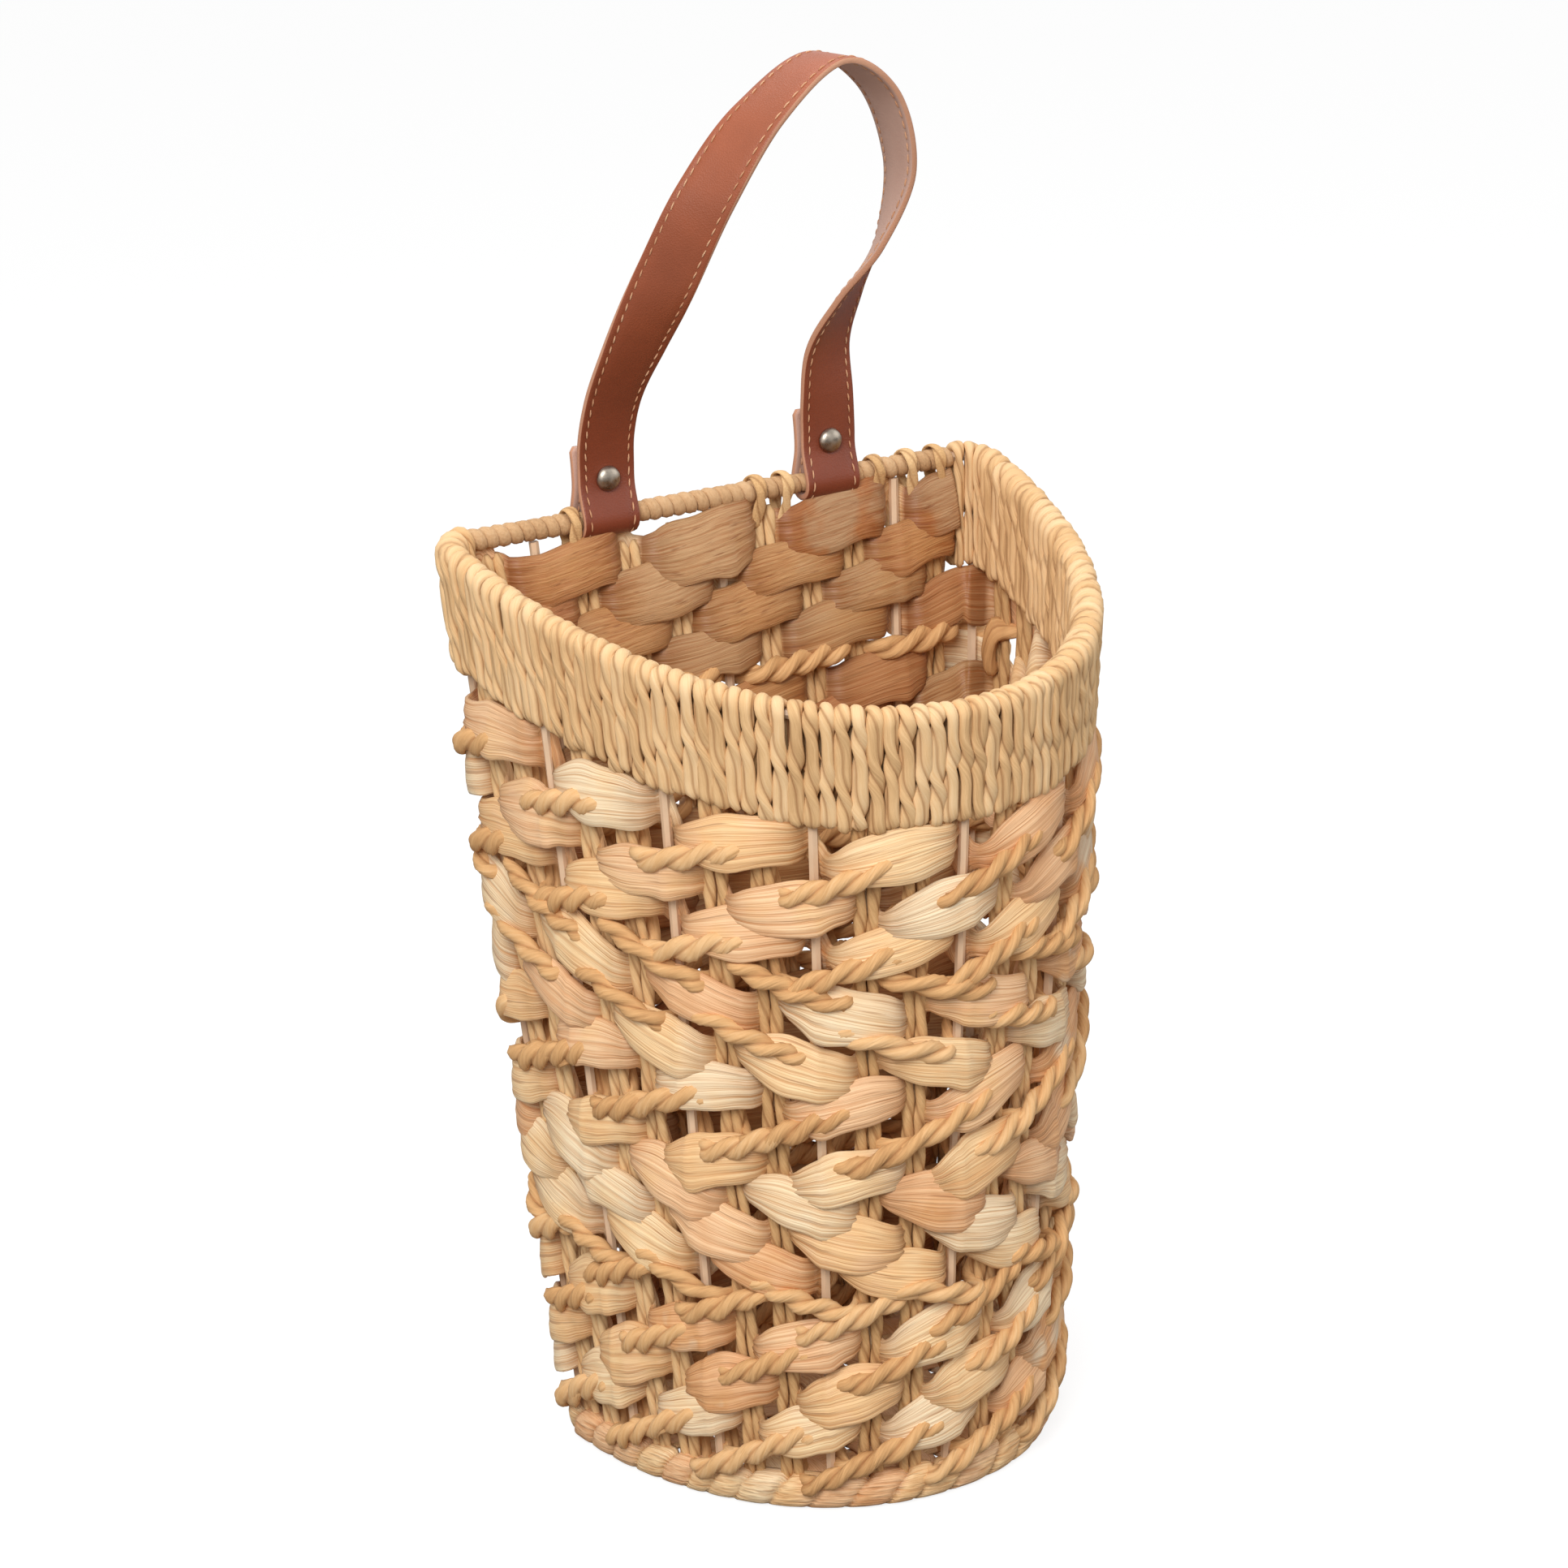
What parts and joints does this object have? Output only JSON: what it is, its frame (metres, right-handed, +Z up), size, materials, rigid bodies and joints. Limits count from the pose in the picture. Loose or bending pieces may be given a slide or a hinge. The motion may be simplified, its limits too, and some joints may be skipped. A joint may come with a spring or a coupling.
{
  "type": "wall basket",
  "caption": "Half-round tapered basket woven over a wire frame, flat back, band folded over the rim, with a riveted leather strap looped round the back bar for hanging.",
  "frame": {"origin": "on the floor, under the middle of the whole object's box", "axes": "+Z up, +Y out of the flat back towards the wall, -Y out of the round front"},
  "size_m": [0.2638, 0.2005, 0.5684],
  "materials": {
    "frame_wire": "matt tan coating",
    "hyacinth_strand": "dry flat plant strand, matt",
    "twisted_cord": "two-ply twisted plant cord, matt",
    "paper_cord": "twisted cord, matt",
    "strap_leather": "smooth tan-brown leather, stitched",
    "rivet_nickel": "aged nickel"
  },
  "bodies": {
    "basket": {"rim_wire": "frame_wire", "base_wire": "frame_wire", "back_wire_1": "frame_wire", "back_wire_2": "frame_wire", "back_wire_3": "frame_wire", "front_wire_1": "frame_wire", "front_wire_2": "frame_wire", "front_wire_3": "frame_wire", "front_wire_4": "frame_wire", "front_wire_5": "frame_wire", "front_wire_6": "frame_wire", "front_wire_7": "frame_wire", "front_wire_8": "frame_wire", "front_wire_9": "frame_wire", "course_01_cord": "twisted_cord", "course_02_cord": "twisted_cord", "course_03_hyacinth": "hyacinth_strand", "course_04_hyacinth": "hyacinth_strand", "course_05_cord": "twisted_cord", "course_06_hyacinth": "hyacinth_strand", "course_07_cord": "twisted_cord", "course_08_cord": "twisted_cord", "course_09_hyacinth": "hyacinth_strand", "course_10_hyacinth": "hyacinth_strand", "course_11_hyacinth": "hyacinth_strand", "course_12_hyacinth": "hyacinth_strand", "course_13_cord": "twisted_cord", "course_14_cord": "twisted_cord", "course_15_hyacinth": "hyacinth_strand", "course_16_hyacinth": "hyacinth_strand", "course_17_cord": "twisted_cord", "course_18_hyacinth": "hyacinth_strand", "course_19_cord": "twisted_cord", "course_20_cord": "twisted_cord", "course_21_hyacinth": "hyacinth_strand", "course_22_hyacinth": "hyacinth_strand", "course_23_cord": "twisted_cord", "course_24_hyacinth": "hyacinth_strand", "back_row_1_hyacinth": "hyacinth_strand", "back_row_2_hyacinth": "hyacinth_strand", "back_row_3_hyacinth": "hyacinth_strand", "front_band": "paper_cord", "base_binding": "hyacinth_strand", "woven_floor": "hyacinth_strand", "bar_wrap_left": "paper_cord", "bar_wrap_middle": "paper_cord", "bar_wrap_right": "paper_cord"},
    "strap": {"leather_strap": "strap_leather", "rivet_left": "rivet_nickel", "rivet_back_left": "rivet_nickel", "rivet_right": "rivet_nickel", "rivet_back_right": "rivet_nickel"}
  },
  "joints": [
    {"name": "strap_swing", "type": "hinge", "parent": "basket", "child": "strap", "pos_m": [0, 0.0926, 0.382], "axis": [1, 0, 0], "range_deg": [-120, 75]}
  ]
}
